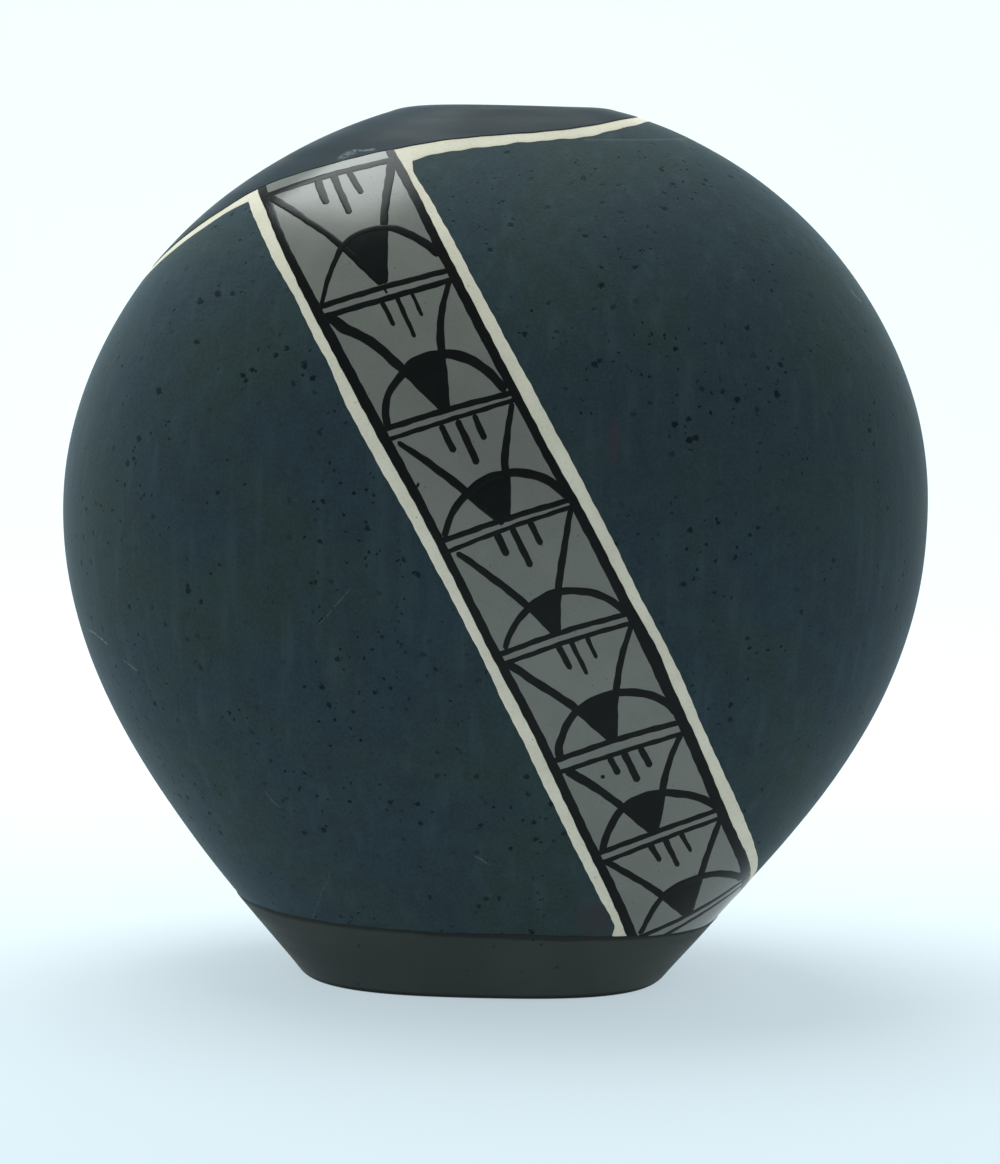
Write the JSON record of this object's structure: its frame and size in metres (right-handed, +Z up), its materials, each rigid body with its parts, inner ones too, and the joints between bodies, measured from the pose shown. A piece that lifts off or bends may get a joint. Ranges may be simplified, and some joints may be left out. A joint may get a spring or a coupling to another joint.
{
  "type": "canteen vase",
  "caption": "Flattened coil-built blackware vase with a small oval mouth, burnished collar and foot, matt field and a slanting painted band framed in cream.",
  "frame": {"origin": "centre of the flat resting face under the foot", "axes": "+Z up through the mouth, -Y out of the painted front, +X to the right as the front is seen"},
  "size_m": [0.184, 0.108, 0.185],
  "materials": {
    "clay": "matte",
    "collar_slip": "burnished",
    "foot_slip": "burnished",
    "grey_slip": "satin",
    "cream_slip": "matte",
    "black_paint": "satin"
  },
  "bodies": {
    "root": {"base_slab": "clay", "wall_coil_1": "clay", "wall_coil_2": "clay", "wall_coil_3": "clay", "wall_coil_4": "clay", "wall_coil_5": "clay", "wall_coil_6": "clay", "wall_coil_7": "clay", "lip_coil": "collar_slip", "collar_slip": "collar_slip", "foot_slip": "foot_slip", "band_slip": "grey_slip", "cream_line": "cream_slip", "band_linework": "black_paint"}
  },
  "joints": []
}
